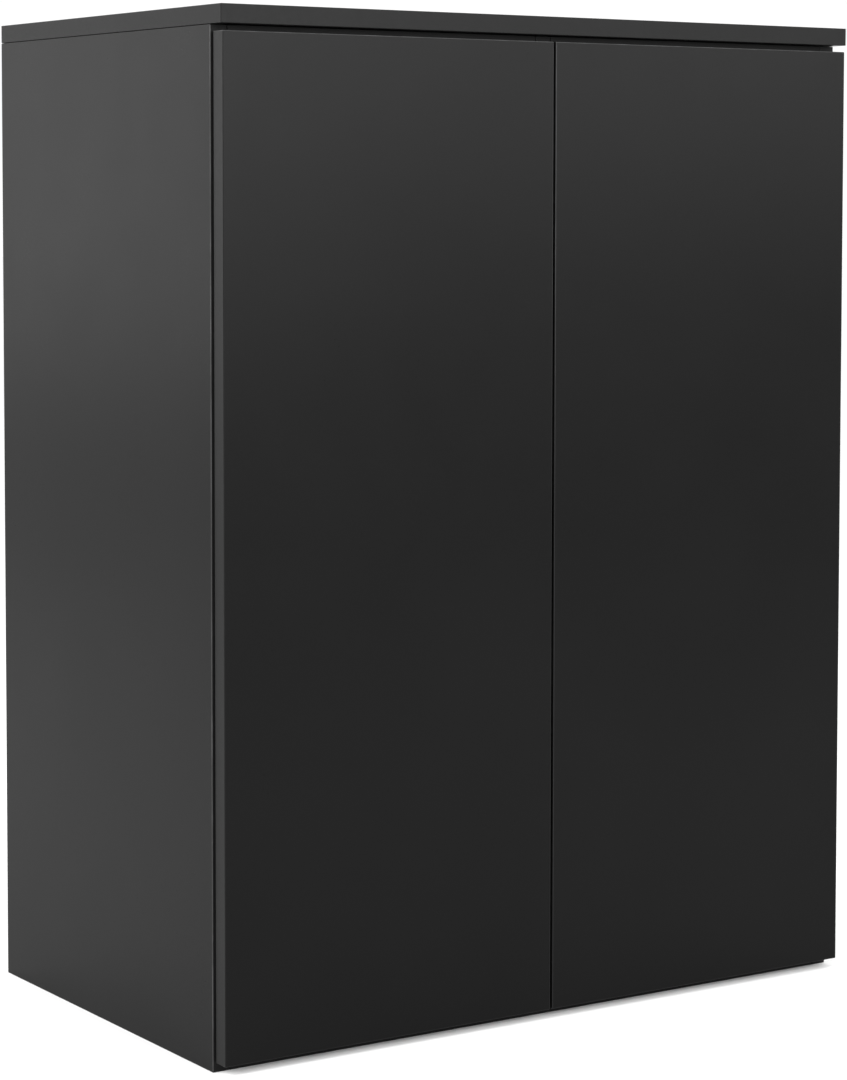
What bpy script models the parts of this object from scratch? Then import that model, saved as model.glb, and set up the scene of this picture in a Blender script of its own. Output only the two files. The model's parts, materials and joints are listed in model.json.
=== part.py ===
"""Two-door wardrobe: melamine board carcass, push-to-open slab doors, single-pivot concealed hinges.

Metres, +Z up. The origin is on the floor, at the middle of the width and of the whole depth.
The doors face -Y. Each door's pieces hang from an empty that stands on the door's vertical axis.
"""
import bmesh
import bpy
from math import asin, cos, pi, radians, sin
from mathutils import Matrix, Vector

# Overall size and stock thickness
WIDTH = 0.800
HEIGHT = 1.060
DEPTH = 0.490
BOARD = 0.019
BACK_BOARD = 0.003
CLEAR = 0.0003
EDGE_ROUND = 0.0006

# How far a cutter runs past the face it enters, and how round pieces are divided and shaded
PAST = 0.002
CUP_SIDES = 40
RAIL_SIDES = 32
ROUND_SIDES = 24
SMALL_SIDES = 16
SHELF_PIN_SIDES = 12
HOLE_SIDES = 8
SMOOTH_BELOW = radians(35)

# Doors
DOOR_BACK_GAP = 0.0026
DOOR_TOP_GAP = 0.007
DOOR_FLOOR_GAP = 0.010
DOOR_SIDE_INSET = 0.002
DOOR_MIDDLE_GAP = 0.003

# Carcass
GROOVE_DEPTH = 0.005
GROOVE_WIDTH = 0.0036
GROOVE_FROM_BACK = 0.0217
FRONT_RAIL_HEIGHT = 0.060
REAR_TOP_RAIL_HEIGHT = 0.090
REAR_BOTTOM_RAIL_HEIGHT = 0.070

# Shelves and their pins, on the 32 mm hole grid
HOLE_PITCH = 0.032
HOLE_RADIUS = 0.0028
HOLE_DEPTH = 0.009
FIRST_HOLE_HEIGHT = 0.146
HOLES_PER_ROW = 24
HOLE_ROW_SETBACK = 0.037
SHELF_SIDE_GAP = 0.002
SHELF_FRONT_SETBACK = 0.020
SHELF_HOLES = (3, 11, 19)
PIN_SHAFT_RADIUS = 0.0025
PIN_SHAFT_LENGTH = 0.008
PIN_COLLAR_RADIUS = 0.0045
PIN_COLLAR_LENGTH = 0.0012
PIN_REST_RADIUS = 0.003
PIN_REST_LENGTH = 0.008

# Clothes rail
RAIL_RADIUS = 0.0125
RAIL_WALL = 0.0012
RAIL_HEIGHT = 0.955
SOCKET_FLANGE_RADIUS = 0.021
SOCKET_FLANGE_THICKNESS = 0.003
SOCKET_COLLAR_WALL = 0.0024
SOCKET_COLLAR_LENGTH = 0.012
SOCKET_CHAMFER = 0.0012

# Hinges: the axis stands inside the door, PIVOT_FROM_EDGE in from its outer edge and PIVOT_FROM_BACK in
# from its inner face, so that the door's corner turns clear of the side panel
PIVOT_FROM_EDGE = 0.0075
PIVOT_FROM_BACK = 0.011
HINGE_FROM_DOOR_END = 0.100
HINGE_PIN_RADIUS = 0.001
HINGE_PIN_LENGTH = 0.0134
CUP_RADIUS = 0.0175
CUP_WALL = 0.001
CUP_FLOOR = 0.0008
CUP_FROM_EDGE = 0.003
CUP_HOLLOW_HALF_WIDTH = 0.007
CUP_FLANGE_RADIUS = 0.0185
CUP_FLANGE_THICKNESS = 0.0008
CUP_EAR_OFFSET = 0.009
CUP_EAR_SPACING = 0.045
CUP_EAR_RADIUS = 0.0065
STRAP_THICKNESS = 0.001
STRAP_WIDTH = 0.010
STRAP_BEND_RADIUS = 0.0035
EYE_ROLL = radians(285)
ARM_WIDTH = 0.015
ARM_START = 0.009
ARM_LENGTH = 0.050
PLATE_SPINE_WIDTH = 0.0118
PLATE_SPINE_THICKNESS = 0.004
PLATE_WING_THICKNESS = 0.0025
PLATE_WING_RADIUS = 0.007
PLATE_INSET = 0.003
PLATE_SCREW_SPACING = 0.032

# Push latches
LATCH_HEIGHT = 0.955
LATCH_BARREL_RADIUS = 0.0065
LATCH_BORE_RADIUS = 0.0043
LATCH_BORE_DEPTH = 0.054
LATCH_LENGTH = 0.062
LATCH_PLATE_THICKNESS = 0.002
LATCH_PLATE_HEIGHT = 0.030
LATCH_SETBACK = 0.0015
PLUNGER_RADIUS = 0.004
PLUNGER_LENGTH = 0.046
STRIKE_RADIUS = 0.009
STRIKE_THICKNESS = 0.0008

# Door buffers
BUFFER_RADIUS = 0.005
BUFFER_THICKNESS = 0.0017
BUFFER_FROM_MIDDLE = 0.007
BUFFER_HEIGHT = 0.060

# Places that follow from the sizes above
HALF_WIDTH = WIDTH / 2
Y_FRONT = -DEPTH / 2
Y_BACK = DEPTH / 2
Y_DOOR_BACK = Y_FRONT + BOARD
Y_CARCASS = Y_DOOR_BACK + DOOR_BACK_GAP
Y_GROOVE = Y_BACK - GROOVE_FROM_BACK - GROOVE_WIDTH
Y_BACK_BOARD = Y_GROOVE + (GROOVE_WIDTH - BACK_BOARD) / 2
SIDE_INNER = HALF_WIDTH - BOARD
Z_TOP = HEIGHT - BOARD
DOOR_OUTER = HALF_WIDTH - DOOR_SIDE_INSET
DOOR_INNER = DOOR_MIDDLE_GAP / 2
DOOR_TOP = Z_TOP - DOOR_TOP_GAP
PIVOT_X = DOOR_OUTER - PIVOT_FROM_EDGE
PIVOT_Y = Y_DOOR_BACK - PIVOT_FROM_BACK
HINGE_HEIGHTS = {"lower": DOOR_FLOOR_GAP + HINGE_FROM_DOOR_END, "upper": DOOR_TOP - HINGE_FROM_DOOR_END}
SIDES = {"left": -1, "right": 1}

# Plain colours; linear values
FINISHES = {
    "black_board": ((0.030, 0.030, 0.031), 0.55, 0.0),
    "black_hardboard": ((0.040, 0.040, 0.041), 0.70, 0.0),
    "nickel_steel": ((0.60, 0.59, 0.57), 0.28, 1.0),
    "dark_steel": ((0.20, 0.20, 0.21), 0.35, 1.0),
    "black_rail_steel": ((0.035, 0.035, 0.036), 0.40, 0.3),
    "black_plastic": ((0.025, 0.025, 0.026), 0.45, 0.0),
    "grey_plastic": ((0.25, 0.25, 0.26), 0.45, 0.0),
    "clear_rubber": ((0.45, 0.45, 0.44), 0.50, 0.0),
}


def clear_scene():
    for item in list(bpy.data.objects):
        bpy.data.objects.remove(item, do_unlink=True)


def make_finish(name):
    color, roughness, metallic = FINISHES[name]
    material = bpy.data.materials.new(name)
    material.use_nodes = True
    shader = material.node_tree.nodes["Principled BSDF"]
    shader.inputs["Base Color"].default_value = (*color, 1.0)
    shader.inputs["Roughness"].default_value = roughness
    shader.inputs["Metallic"].default_value = metallic
    material.diffuse_color = (*color, 1.0)
    return material


def add_object(name, bm, place=(0, 0, 0)):
    bmesh.ops.recalc_face_normals(bm, faces=bm.faces)
    mesh = bpy.data.meshes.new(name)
    bm.to_mesh(mesh)
    bm.free()
    item = bpy.data.objects.new(name, mesh)
    item.location = place
    bpy.context.scene.collection.objects.link(item)
    return item


def box(name, low, high, round_edges=0.0):
    """A box between two world corners, with its origin at its middle."""
    low, high = Vector(low), Vector(high)
    bm = bmesh.new()
    bmesh.ops.create_cube(bm, size=1.0)
    bmesh.ops.scale(bm, vec=high - low, verts=bm.verts)
    if round_edges:
        bmesh.ops.bevel(bm, geom=list(bm.edges), offset=round_edges, segments=1, affect="EDGES")
    return add_object(name, bm, (low + high) / 2)


def board(name, low, high):
    return box(name, low, high, EDGE_ROUND)


def prism(name, outline, axis, low, high):
    """A closed prism: a 2-D outline carried along one axis, from low to high.

    The outline is in (y, z) for axis x, (x, z) for axis y and (x, y) for axis z.
    """
    order = {"x": (2, 0, 1), "y": (0, 2, 1), "z": (0, 1, 2)}[axis]

    def corner(point, along):
        values = (point[0], point[1], along)
        return tuple(values[index] for index in order)

    bm = bmesh.new()
    face = bm.faces.new([bm.verts.new(corner(point, low)) for point in outline])
    grown = bmesh.ops.extrude_face_region(bm, geom=[face])["geom"]
    step = Vector(corner((0, 0), high - low))
    bmesh.ops.translate(bm, vec=step, verts=[item for item in grown if isinstance(item, bmesh.types.BMVert)])
    return add_object(name, bm)


def arc(center, radius, start, end, steps):
    """Points on an arc, ends included; angles in radians."""
    angles = [start + (end - start) * step / steps for step in range(steps + 1)]
    return [(center[0] + radius * cos(angle), center[1] + radius * sin(angle)) for angle in angles]


def circle(center, radius, count):
    return arc(center, radius, 0, 2 * pi * (count - 1) / count, count - 1)


def capsule(center, half_spacing, radius, steps=8):
    """A bar with round ends that runs along the outline's second axis."""
    x, y = center
    far_end = arc((x, y + half_spacing), radius, 0, pi, steps)
    near_end = arc((x, y - half_spacing), radius, pi, 2 * pi, steps)
    return far_end + near_end


def rectangle(low, high):
    return [(low[0], low[1]), (high[0], low[1]), (high[0], high[1]), (low[0], high[1])]


def turned(name, profile, segments):
    """A turned piece about its own X axis from (x, radius) points; both ends close on the axis."""
    bm = bmesh.new()
    rings = []
    for x, radius in profile:
        turns = [2 * pi * index / segments for index in range(segments)]
        rings.append([bm.verts.new((x, radius * cos(turn), radius * sin(turn))) for turn in turns])
    for first, second in zip(rings, rings[1:]):
        for index in range(segments):
            after = (index + 1) % segments
            bm.faces.new((first[index], first[after], second[after], second[index]))
    bm.faces.new(rings[0])
    bm.faces.new(rings[-1])
    return add_object(name, bm)


def combine(target, tools, operation):
    """Union or difference with each tool in turn, applied; the tools are used up."""
    for tool in tools:
        modifier = target.modifiers.new(operation.lower(), "BOOLEAN")
        modifier.operation = operation
        modifier.solver = "EXACT"
        modifier.object = tool
    graph = bpy.context.evaluated_depsgraph_get()
    result = bpy.data.meshes.new_from_object(target.evaluated_get(graph))
    target.modifiers.clear()
    target.data = result
    for tool in tools:
        bpy.data.objects.remove(tool)
    return target


def joined(items):
    """One cutter from several that don't touch."""
    first = items[0]
    bm = bmesh.new()
    for item in items:
        mesh = item.data.copy()
        mesh.transform(Matrix.Translation(item.location - first.location))
        bm.from_mesh(mesh)
        bpy.data.meshes.remove(mesh)
    bm.to_mesh(first.data)
    bm.free()
    for item in items[1:]:
        bpy.data.objects.remove(item)
    return first


def finish(item, material, smooth=False, parent=None):
    item.data.materials.clear()
    item.data.materials.append(material)
    if smooth:
        item.data.shade_smooth()
        item.data.set_sharp_from_angle(angle=SMOOTH_BELOW)
    if parent:
        item.location = item.location - parent.location
        item.parent = parent
    return item


def groove_cutter(low, high):
    return box("groove_cutter", low, high)


def hole_rows(x_face, direction):
    """Cutters for two rows of shelf holes that enter a face at x_face, going along direction."""
    rows_y = (Y_CARCASS + HOLE_ROW_SETBACK, Y_BACK_BOARD - HOLE_ROW_SETBACK)
    cutters = []
    for y in rows_y:
        for index in range(HOLES_PER_ROW):
            cutter = turned("hole_cutter", [(-PAST, HOLE_RADIUS), (HOLE_DEPTH, HOLE_RADIUS)], HOLE_SIDES)
            if direction < 0:
                cutter.data.transform(Matrix.Rotation(pi, 4, "Z"))
            cutter.location = (x_face, y, FIRST_HOLE_HEIGHT + index * HOLE_PITCH)
            cutters.append(cutter)
    return joined(cutters)


def build_carcass(material, hardboard):
    groove_y = (Y_GROOVE, Y_GROOVE + GROOVE_WIDTH)

    top = board("top_panel", (-HALF_WIDTH, Y_FRONT, Z_TOP), (HALF_WIDTH, Y_BACK, HEIGHT))
    reach = SIDE_INNER + GROOVE_DEPTH
    cutter = groove_cutter((-reach, groove_y[0], Z_TOP - PAST), (reach, groove_y[1], Z_TOP + GROOVE_DEPTH))
    finish(combine(top, [cutter], "DIFFERENCE"), material)

    for side, sign in SIDES.items():
        outer, inner = sign * HALF_WIDTH, sign * SIDE_INNER
        panel = board(
            f"{side}_side_panel",
            (min(outer, inner), Y_CARCASS, 0),
            (max(outer, inner), Y_BACK, Z_TOP - CLEAR),
        )
        edges = sorted((inner - sign * PAST, inner + sign * GROOVE_DEPTH))
        low_z = BOARD - GROOVE_DEPTH
        cutters = [groove_cutter((edges[0], groove_y[0], low_z), (edges[1], groove_y[1], HEIGHT))]
        if side == "right":
            cutters.append(hole_rows(inner, sign))
        finish(combine(panel, cutters, "DIFFERENCE"), material)

    bottom = board(
        "bottom_panel",
        (-SIDE_INNER + CLEAR, Y_CARCASS, 0),
        (SIDE_INNER - CLEAR, Y_BACK, BOARD),
    )
    cutter = groove_cutter(
        (-HALF_WIDTH, groove_y[0], BOARD - GROOVE_DEPTH),
        (HALF_WIDTH, groove_y[1], BOARD + PAST),
    )
    finish(combine(bottom, [cutter], "DIFFERENCE"), material)

    divider = board(
        "centre_divider",
        (-BOARD / 2, Y_CARCASS, BOARD + CLEAR),
        (BOARD / 2, Y_BACK_BOARD - CLEAR, Z_TOP - CLEAR),
    )
    finish(combine(divider, [hole_rows(BOARD / 2, -1)], "DIFFERENCE"), material)

    tongue = GROOVE_DEPTH - CLEAR
    back = box(
        "back_panel",
        (-SIDE_INNER - tongue, Y_BACK_BOARD, BOARD - tongue),
        (SIDE_INNER + tongue, Y_BACK_BOARD + BACK_BOARD, Z_TOP + tongue),
    )
    finish(back, hardboard)

    for side, sign in SIDES.items():
        ends = sorted((sign * (BOARD / 2 + CLEAR), sign * (SIDE_INNER - CLEAR)))
        rail = board(
            f"front_top_rail_{side}",
            (ends[0], Y_CARCASS, Z_TOP - CLEAR - FRONT_RAIL_HEIGHT),
            (ends[1], Y_CARCASS + BOARD, Z_TOP - CLEAR),
        )
        finish(rail, material)

    rear_rails = {
        "rear_top_rail": (Z_TOP - CLEAR - REAR_TOP_RAIL_HEIGHT, Z_TOP - CLEAR),
        "rear_bottom_rail": (BOARD + CLEAR, BOARD + CLEAR + REAR_BOTTOM_RAIL_HEIGHT),
    }
    for name, (low_z, high_z) in rear_rails.items():
        rail = board(
            name,
            (-SIDE_INNER + CLEAR, Y_BACK - BOARD, low_z),
            (SIDE_INNER - CLEAR, Y_BACK, high_z),
        )
        finish(rail, material)


def build_shelves(material, steel):
    rows_y = {"front": Y_CARCASS + HOLE_ROW_SETBACK, "rear": Y_BACK_BOARD - HOLE_ROW_SETBACK}
    walls = {"left": (BOARD / 2, 1), "right": (SIDE_INNER, -1)}
    tip = PIN_COLLAR_LENGTH + PIN_REST_LENGTH
    for number, hole in enumerate(SHELF_HOLES, start=1):
        pin_z = FIRST_HOLE_HEIGHT + hole * HOLE_PITCH
        low_z = pin_z + PIN_REST_RADIUS + CLEAR
        shelf = board(
            f"shelf_{number}",
            (BOARD / 2 + SHELF_SIDE_GAP, Y_CARCASS + SHELF_FRONT_SETBACK, low_z),
            (SIDE_INNER - SHELF_SIDE_GAP, Y_BACK_BOARD - SHELF_SIDE_GAP, low_z + BOARD),
        )
        finish(shelf, material)
        for wall, (face_x, direction) in walls.items():
            for row, y in rows_y.items():
                profile = [
                    (-PIN_SHAFT_LENGTH, PIN_SHAFT_RADIUS),
                    (CLEAR, PIN_SHAFT_RADIUS),
                    (CLEAR, PIN_COLLAR_RADIUS),
                    (PIN_COLLAR_LENGTH, PIN_COLLAR_RADIUS),
                    (PIN_COLLAR_LENGTH, PIN_REST_RADIUS),
                    (tip, PIN_REST_RADIUS),
                ]
                pin = turned(f"shelf_pin_{number}_{wall}_{row}", profile, SHELF_PIN_SIDES)
                if direction < 0:
                    pin.rotation_euler = (0, 0, pi)
                pin.location = (face_x, y, pin_z)
                finish(pin, steel, smooth=True)


def build_clothes_rail(steel, plastic):
    low_x, high_x = -SIDE_INNER, -BOARD / 2
    middle_y = (Y_CARCASS + Y_BACK_BOARD) / 2
    flange = SOCKET_FLANGE_THICKNESS
    length = high_x - low_x - 2 * (flange + 2 * CLEAR)
    tube = turned("clothes_rail", [(0, RAIL_RADIUS), (length, RAIL_RADIUS)], RAIL_SIDES)
    bore_radius = RAIL_RADIUS - RAIL_WALL
    bore = turned("rail_bore", [(-PAST, bore_radius), (length + PAST, bore_radius)], RAIL_SIDES)
    combine(tube, [bore], "DIFFERENCE")
    tube.location = (low_x + flange + 2 * CLEAR, middle_y, RAIL_HEIGHT)
    finish(tube, steel, smooth=True)

    inner = RAIL_RADIUS + CLEAR
    outer = inner + SOCKET_COLLAR_WALL
    for side, (face_x, direction) in {"outer": (low_x, 1), "inner": (high_x, -1)}.items():
        profile = [
            (CLEAR, SOCKET_FLANGE_RADIUS),
            (flange + CLEAR - SOCKET_CHAMFER, SOCKET_FLANGE_RADIUS),
            (flange + CLEAR, SOCKET_FLANGE_RADIUS - SOCKET_CHAMFER),
            (flange + CLEAR, outer),
            (SOCKET_COLLAR_LENGTH, outer),
        ]
        socket = turned(f"clothes_rail_socket_{side}", profile, RAIL_SIDES)
        bore_line = [(flange + CLEAR, inner), (SOCKET_COLLAR_LENGTH + PAST, inner)]
        bore = turned("socket_bore", bore_line, RAIL_SIDES)
        combine(socket, [bore], "DIFFERENCE")
        if direction < 0:
            socket.rotation_euler = (0, 0, pi)
        socket.location = (face_x, middle_y, RAIL_HEIGHT)
        finish(socket, plastic, smooth=True)


def cup_hollow(center_x, sign):
    """Outline of the cup's hollow: a round well cut off by two straight sides."""
    radius = CUP_RADIUS - CUP_WALL
    half = asin(CUP_HOLLOW_HALF_WIDTH / radius)
    far = arc((center_x, 0), radius, -half, half, 6)
    near = arc((center_x, 0), radius, pi - half, pi + half, 6)
    return [(sign * x, z) for x, z in far + near]


def cup_mesh(sign):
    """A hinge cup about the pivot; sign is +1 where the door reaches towards +X."""
    face_y = PIVOT_FROM_BACK
    floor_y = -(STRAP_THICKNESS + HINGE_PIN_RADIUS + 2 * CLEAR)
    center = CUP_FROM_EDGE + CUP_RADIUS - PIVOT_FROM_EDGE
    flange = (face_y + CLEAR, face_y + CLEAR + CUP_FLANGE_THICKNESS)
    well_line = circle((sign * center, 0), CUP_RADIUS, CUP_SIDES)
    well = prism("cup", well_line, "y", floor_y - CUP_FLOOR, flange[1])
    rim = prism("rim", circle((sign * center, 0), CUP_FLANGE_RADIUS, CUP_SIDES), "y", *flange)
    ears = prism(
        "ears",
        capsule((sign * (center + CUP_EAR_OFFSET), 0), CUP_EAR_SPACING / 2, CUP_EAR_RADIUS),
        "y",
        *flange,
    )
    hollow = prism("hollow", cup_hollow(center, sign), "y", floor_y, flange[1] + PAST)
    combine(well, [rim, ears], "UNION")
    return combine(well, [hollow], "DIFFERENCE")


def strap_path():
    """Middle line of the arm's strap, from the rolled eye about the pivot to the arm's far end."""
    eye = HINGE_PIN_RADIUS + CLEAR + STRAP_THICKNESS / 2
    bend = STRAP_BEND_RADIUS
    run_x = arm_line_x()
    roll = arc((0, 0), eye, -pi / 2 - EYE_ROLL, -pi / 2, ROUND_SIDES)
    elbow = arc((run_x - bend, bend - eye), bend, -pi / 2, 0, 6)
    return roll + elbow + [(run_x, carcass_from_pivot() + ARM_START + ARM_LENGTH)]


def carcass_from_pivot():
    return Y_CARCASS - PIVOT_Y


def side_from_pivot():
    """From the pivot to the side panel's inner face, towards the middle of the wardrobe."""
    return PIVOT_X - SIDE_INNER


def arm_line_x():
    return side_from_pivot() + 2 * CLEAR + PLATE_SPINE_THICKNESS + STRAP_THICKNESS / 2


def ribbon(path, thickness):
    """Outline of a strip of even thickness along a path."""
    points = [Vector(point) for point in path]
    left, right = [], []
    for index, point in enumerate(points):
        before = points[max(index - 1, 0)]
        after = points[min(index + 1, len(points) - 1)]
        along = (after - before).normalized()
        across = Vector((-along.y, along.x)) * thickness / 2
        left.append(tuple(point + across))
        right.append(tuple(point - across))
    return left + right[::-1]


def mirrored(outline, sign):
    return [(sign * x, y) for x, y in outline]


def arm_mesh(sign):
    """The hinge arm: a strap with a rolled eye at the pivot, and a channel over the mounting plate."""
    half = STRAP_WIDTH / 2
    arm = prism("arm", mirrored(ribbon(strap_path(), STRAP_THICKNESS), sign), "z", -half, half)
    start = carcass_from_pivot() + ARM_START
    end = start + ARM_LENGTH
    top = arm_line_x() + STRAP_THICKNESS / 2
    under = top - STRAP_THICKNESS
    wide = ARM_WIDTH / 2
    cheek_floor = side_from_pivot() + 3 * CLEAR + PLATE_WING_THICKNESS
    cover = prism("cover", mirrored(rectangle((under, start), (top, end)), sign), "z", -wide, wide)
    cheek = mirrored(rectangle((cheek_floor, start), (top, end)), sign)
    cheeks = [
        prism("cheek", cheek, "z", -wide, -wide + STRAP_THICKNESS),
        prism("cheek", cheek, "z", wide - STRAP_THICKNESS, wide),
    ]
    return combine(arm, [cover] + cheeks, "UNION")


def plate_mesh(sign):
    """The mounting plate on the side panel: a spine under the arm and two wings for its screws."""
    face = side_from_pivot() + CLEAR
    start = carcass_from_pivot() + ARM_START + PLATE_INSET
    end = start + ARM_LENGTH - 2 * PLATE_INSET
    half = PLATE_SPINE_WIDTH / 2
    spine_edges = sorted((sign * face, sign * (face + PLATE_SPINE_THICKNESS)))
    wing_edges = sorted((sign * face, sign * (face + PLATE_WING_THICKNESS)))
    spine = prism("plate", rectangle((start, -half), (end, half)), "x", *spine_edges)
    center = carcass_from_pivot() + HOLE_ROW_SETBACK
    wings = prism("wings", capsule((center, 0), PLATE_SCREW_SPACING / 2, PLATE_WING_RADIUS), "x", *wing_edges)
    return combine(spine, [wings], "UNION")


def build_hinges(side, sign, axis, steel, dark_steel):
    """Two hinges for one door; sign is +1 where the door reaches towards +X."""
    shapes = {"cup": cup_mesh(sign), "arm": arm_mesh(sign), "mounting_plate": plate_mesh(sign)}
    pin_half = HINGE_PIN_LENGTH / 2
    shapes["pin"] = prism("pin", circle((0, 0), HINGE_PIN_RADIUS, SMALL_SIDES), "z", -pin_half, pin_half)
    finishes = {"cup": steel, "arm": steel, "mounting_plate": steel, "pin": dark_steel}
    for level, height in HINGE_HEIGHTS.items():
        for part, shape in shapes.items():
            item = bpy.data.objects.new(f"{side}_{level}_hinge_{part}", shape.data)
            item.location = (axis.location.x, PIVOT_Y, height)
            bpy.context.scene.collection.objects.link(item)
            rides = part in ("cup", "pin")
            finish(item, finishes[part], smooth=True, parent=axis if rides else None)
    for shape in shapes.values():
        bpy.data.objects.remove(shape)


def build_door(side, side_sign, materials):
    reach = -side_sign
    axis = bpy.data.objects.new(f"{side}_door_axis", None)
    axis.location = (side_sign * PIVOT_X, PIVOT_Y, 0)
    bpy.context.scene.collection.objects.link(axis)

    edges = sorted((side_sign * DOOR_OUTER, side_sign * DOOR_INNER))
    door = board(f"{side}_door", (edges[0], Y_FRONT, DOOR_FLOOR_GAP), (edges[1], Y_DOOR_BACK, DOOR_TOP))
    well_x = side_sign * (DOOR_OUTER - CUP_FROM_EDGE - CUP_RADIUS)
    well_y = PIVOT_Y - STRAP_THICKNESS - HINGE_PIN_RADIUS - 3 * CLEAR - CUP_FLOOR
    wells = []
    for height in HINGE_HEIGHTS.values():
        well = prism("well", circle((0, 0), CUP_RADIUS + CLEAR, CUP_SIDES), "y", well_y, Y_DOOR_BACK + PAST)
        well.location = (well_x, 0, height)
        wells.append(well)
    combine(door, [joined(wells)], "DIFFERENCE")
    finish(door, materials["black_board"], parent=axis)

    build_hinges(side, reach, axis, materials["nickel_steel"], materials["dark_steel"])
    latch_x = side_sign * (BOARD / 2 + CLEAR + LATCH_PLATE_THICKNESS + LATCH_BARREL_RADIUS)
    build_latch(side, side_sign, latch_x, materials)

    strike = prism("strike", circle((0, 0), STRIKE_RADIUS, ROUND_SIDES), "y", 0, STRIKE_THICKNESS)
    strike.name = f"{side}_strike_plate"
    strike.location = (latch_x, Y_DOOR_BACK + CLEAR, LATCH_HEIGHT)
    finish(strike, materials["nickel_steel"], smooth=True, parent=axis)

    buffer = prism("buffer", circle((0, 0), BUFFER_RADIUS, SMALL_SIDES), "y", 0, BUFFER_THICKNESS)
    buffer.name = f"{side}_door_buffer"
    buffer.location = (side_sign * BUFFER_FROM_MIDDLE, Y_DOOR_BACK + CLEAR, BUFFER_HEIGHT)
    finish(buffer, materials["clear_rubber"], smooth=True, parent=axis)


def build_latch(side, side_sign, latch_x, materials):
    """A push latch on the divider's face: housing with a bore, and the plunger that runs in it."""
    start = Y_CARCASS + LATCH_SETBACK
    end = start + LATCH_LENGTH
    plate_face = side_sign * (BOARD / 2 + CLEAR)
    plate_x = sorted((plate_face, plate_face + side_sign * LATCH_PLATE_THICKNESS))
    half = LATCH_PLATE_HEIGHT / 2
    housing = prism("housing", circle((latch_x, 0), LATCH_BARREL_RADIUS, ROUND_SIDES), "y", start, end)
    foot_x = sorted((plate_face, latch_x))
    foot_line = rectangle((foot_x[0], -LATCH_BARREL_RADIUS), (foot_x[1], LATCH_BARREL_RADIUS))
    foot = prism("foot", foot_line, "y", start, end)
    plate = prism("plate", rectangle((start, -half), (end, half)), "x", *plate_x)
    bore_line = circle((latch_x, 0), LATCH_BORE_RADIUS, ROUND_SIDES)
    bore = prism("bore", bore_line, "y", start - PAST, start + LATCH_BORE_DEPTH)
    combine(housing, [foot, plate], "UNION")
    combine(housing, [bore], "DIFFERENCE")
    housing.name = f"{side}_latch_housing"
    housing.location = (0, 0, LATCH_HEIGHT)
    finish(housing, materials["black_plastic"], smooth=True)

    tip = Y_DOOR_BACK + 2 * CLEAR + STRIKE_THICKNESS
    plunger = prism("plunger", circle((0, 0), PLUNGER_RADIUS, ROUND_SIDES), "y", 0, PLUNGER_LENGTH)
    plunger.name = f"{side}_latch_plunger"
    plunger.location = (latch_x, tip, LATCH_HEIGHT)
    finish(plunger, materials["grey_plastic"], smooth=True)


def build():
    clear_scene()
    materials = {name: make_finish(name) for name in FINISHES}
    build_carcass(materials["black_board"], materials["black_hardboard"])
    build_shelves(materials["black_board"], materials["nickel_steel"])
    build_clothes_rail(materials["black_rail_steel"], materials["black_plastic"])
    for side, sign in SIDES.items():
        build_door(side, sign, materials)


build()
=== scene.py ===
"""The looks of the two-door wardrobe: matte black boards, fittings, floor, light and camera."""

import bmesh
import bpy
import json
from math import cos, pi, radians, sin
from mathutils import Matrix, Vector


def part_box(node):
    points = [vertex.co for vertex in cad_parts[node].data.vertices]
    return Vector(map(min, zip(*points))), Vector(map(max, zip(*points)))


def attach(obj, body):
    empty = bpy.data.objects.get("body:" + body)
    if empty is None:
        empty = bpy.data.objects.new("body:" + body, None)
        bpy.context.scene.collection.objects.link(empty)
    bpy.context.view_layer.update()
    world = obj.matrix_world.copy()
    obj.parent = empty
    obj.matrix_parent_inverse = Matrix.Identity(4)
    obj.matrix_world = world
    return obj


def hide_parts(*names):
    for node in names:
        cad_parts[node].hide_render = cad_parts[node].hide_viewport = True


# Boards: the rounding of their edges, and the places of BOARD_SLOTS
ARRIS_RADIUS = 0.0008
ARRIS_STEPS = 3
BACK_ARRIS = 0.0003
FACE, BAND, ARRIS, OUTER_ARRIS, RAW, SHUT, INNER, UPPER, TOP_BAND = range(9)

# Wells and holes: how far a cutter starts outside the board, and the play below a fitting in its well
OVERSHOOT = 0.001
PLAY = 0.0003

# Shelf holes, as in the CAD
HOLE_RADIUS = 0.0028
HOLE_DEPTH = 0.009
HOLE_PITCH = 0.032
HOLES_PER_ROW = 24
HOLES_BELOW_LOWEST_PIN = 3

# Hinge cup wells in the doors and the cup's two screws
WELL_RADIUS = 0.0178
CUP_EDGE_TO_MIDDLE = 0.0185
EAR_BEYOND_MIDDLE = 0.009
EAR_SPACING = 0.045

# Mounting plate and hinge arm
WING_SPACING = 0.032
WING_HEIGHT = 0.0025
ARM_SCREWS_FROM_MIDDLE = (-0.017, 0.004)

# Push latches
LATCH_PLATE = 0.002
LATCH_SCREW_FROM_END = 0.010
LATCH_SCREW_SPACING = 0.0216
PLUNGER_TIP = 0.0035
PLUNGER_GROOVE = 0.0004

# Clothes rail and its sockets
RAIL_WALL = 0.0012
RAIL_LIP = 0.0002
RAIL_BORE = 0.0128
COLLAR_RADIUS = 0.0152
SOCKET_FLANGE = 0.003
SOCKET_SCREW_SPACING = 0.0362
SOCKET_ROUNDING = 0.0009

# Shelf pins from the hole outwards: radius and the distance at which each stretch ends
PIN_SHAFT = (0.0025, 0.0080)
PIN_COLLAR = (0.0045, 0.0092)
PIN_REST = (0.0030, 0.0172)
PIN_ROUNDING = 0.0005

# Cam fittings and the cover caps on the bottom panel
CAM_RADIUS = 0.0073
CAM_WELL_RADIUS = 0.0076
CAM_WELL_DEPTH = 0.0125
CAM_BELOW_FACE = 0.0008
CAM_FROM_END = 0.034
COVER_RADIUS = 0.0088
COVER_HEIGHT = 0.0009
COVER_ROWS = (-0.165, 0.175)

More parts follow.
